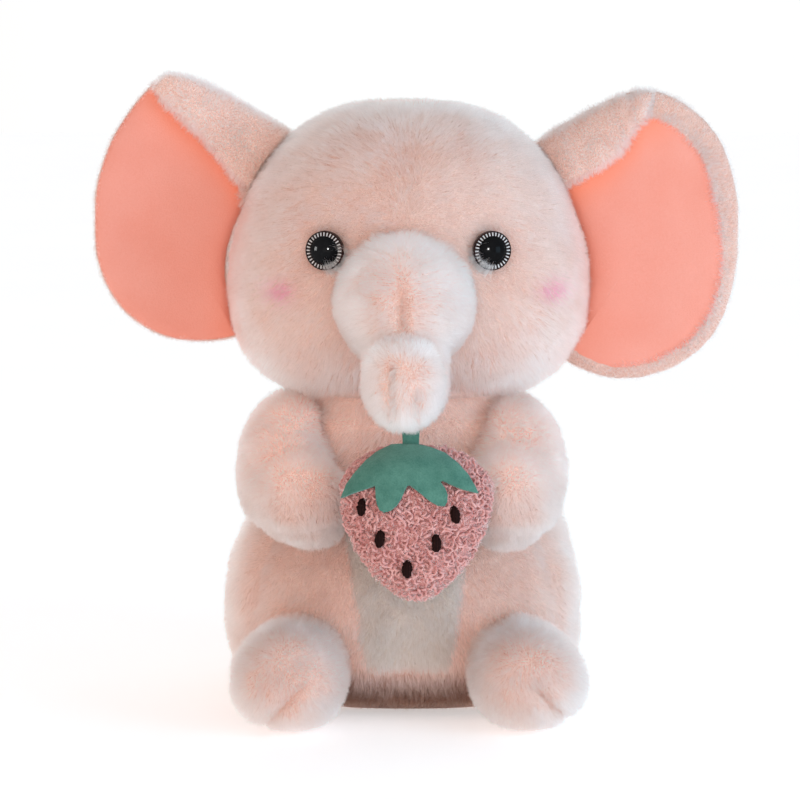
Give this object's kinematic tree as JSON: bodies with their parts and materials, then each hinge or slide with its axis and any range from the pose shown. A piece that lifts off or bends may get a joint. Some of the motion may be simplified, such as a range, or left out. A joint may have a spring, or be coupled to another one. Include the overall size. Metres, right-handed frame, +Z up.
{
  "type": "stuffed elephant",
  "caption": "Seated plush elephant with big lined ears and a curled trunk, holding a looped-fabric strawberry between its paws.",
  "frame": {"origin": "centre of the flat seat underneath", "axes": "+Z up, -Y the way the toy faces, +X the toy's own left"},
  "size_m": [0.267, 0.1979, 0.2565],
  "materials": {
    "pink_plush": "matte",
    "peach_velboa": "matte",
    "white_plush": "matte",
    "filling": "matte",
    "rose_boucle": "matte",
    "green_felt": "matte",
    "brown_thread": "matte",
    "eye_black": "gloss",
    "eye_ticks": "gloss",
    "eye_rim": "gloss",
    "washer": "matte"
  },
  "bodies": {
    "torso": {"torso_front_left": "pink_plush", "torso_front_right": "pink_plush", "torso_back_left": "pink_plush", "torso_back_right": "pink_plush", "belly_patch": "white_plush", "seat_panel": "pink_plush", "torso_filling": "filling"},
    "neck": {"neck_band": "pink_plush"},
    "head": {"head_left_panel": "pink_plush", "head_right_panel": "pink_plush", "head_filling": "filling", "eye_left_dome": "eye_black", "eye_left_ring": "eye_ticks", "eye_left_rim": "eye_rim", "eye_left_washer": "washer", "eye_right_dome": "eye_black", "eye_right_ring": "eye_ticks", "eye_right_rim": "eye_rim", "eye_right_washer": "washer"},
    "trunk": {"trunk_left_panel": "pink_plush", "trunk_right_panel": "pink_plush", "trunk_filling": "filling"},
    "ear_left": {"ear_left_back": "pink_plush", "ear_left_inner": "peach_velboa", "ear_left_padding": "filling"},
    "ear_right": {"ear_right_back": "pink_plush", "ear_right_inner": "peach_velboa", "ear_right_padding": "filling"},
    "arms": {"arm_left_outer": "pink_plush", "arm_left_inner": "pink_plush", "arm_left_filling": "filling", "arm_right_outer": "pink_plush", "arm_right_inner": "pink_plush", "arm_right_filling": "filling"},
    "strawberry": {"strawberry_front": "rose_boucle", "strawberry_back": "rose_boucle", "strawberry_filling": "filling", "strawberry_leaf": "green_felt", "strawberry_seeds": "brown_thread"},
    "foot_left": {"foot_left_upper": "pink_plush", "foot_left_sole": "pink_plush", "foot_left_filling": "filling"},
    "foot_right": {"foot_right_upper": "pink_plush", "foot_right_sole": "pink_plush", "foot_right_filling": "filling"},
    "tail": {"tail": "pink_plush"}
  },
  "joints": [
    {"name": "head_turn", "type": "hinge", "parent": "torso", "child": "neck", "pos_m": [0, 0.005, 0.118], "axis": [0, 0, 1], "range_deg": [-15, 15], "stiffness_Nm_per_rad": 1},
    {"name": "head_nod", "type": "hinge", "parent": "neck", "child": "head", "pos_m": [0, 0.005, 0.118], "axis": [-1, 0, 0], "range_deg": [0, 15], "stiffness_Nm_per_rad": 1.5},
    {"name": "trunk_lift", "type": "hinge", "parent": "head", "child": "trunk", "pos_m": [0, -0.045, 0.173], "axis": [-1, 0, 0], "range_deg": [0, 12], "stiffness_Nm_per_rad": 0.3},
    {"name": "left_ear_flap", "type": "hinge", "parent": "head", "child": "ear_left", "pos_m": [0.0675, 0.012, 0.19], "axis": [-0.26, 0, 0.9656], "range_deg": [-12, 12], "stiffness_Nm_per_rad": 0.08},
    {"name": "right_ear_flap", "type": "hinge", "parent": "head", "child": "ear_right", "pos_m": [-0.066, 0.012, 0.2], "axis": [0.26, 0, 0.9656], "range_deg": [-12, 12], "stiffness_Nm_per_rad": 0.08},
    {"name": "arms_lift", "type": "hinge", "parent": "torso", "child": "arms", "pos_m": [0, -0.014, 0.107], "axis": [-1, 0, 0], "range_deg": [0, 5], "stiffness_Nm_per_rad": 1},
    {"name": "strawberry_rock", "type": "hinge", "parent": "arms", "child": "strawberry", "pos_m": [0, -0.062, 0.09], "axis": [-1, 0, 0], "range_deg": [0, 6], "stiffness_Nm_per_rad": 0.2},
    {"name": "left_foot_flex", "type": "hinge", "parent": "torso", "child": "foot_left", "pos_m": [0.0432, -0.048, 0.022], "axis": [-1, 0, 0], "range_deg": [0, 10], "stiffness_Nm_per_rad": 0.4},
    {"name": "right_foot_flex", "type": "hinge", "parent": "torso", "child": "foot_right", "pos_m": [-0.0432, -0.048, 0.022], "axis": [-1, 0, 0], "range_deg": [0, 10], "stiffness_Nm_per_rad": 0.4},
    {"name": "tail_swing", "type": "hinge", "parent": "torso", "child": "tail", "pos_m": [0, 0.0625, 0.034], "axis": [0, 0, 1], "range_deg": [-20, 20], "stiffness_Nm_per_rad": 0.01}
  ]
}
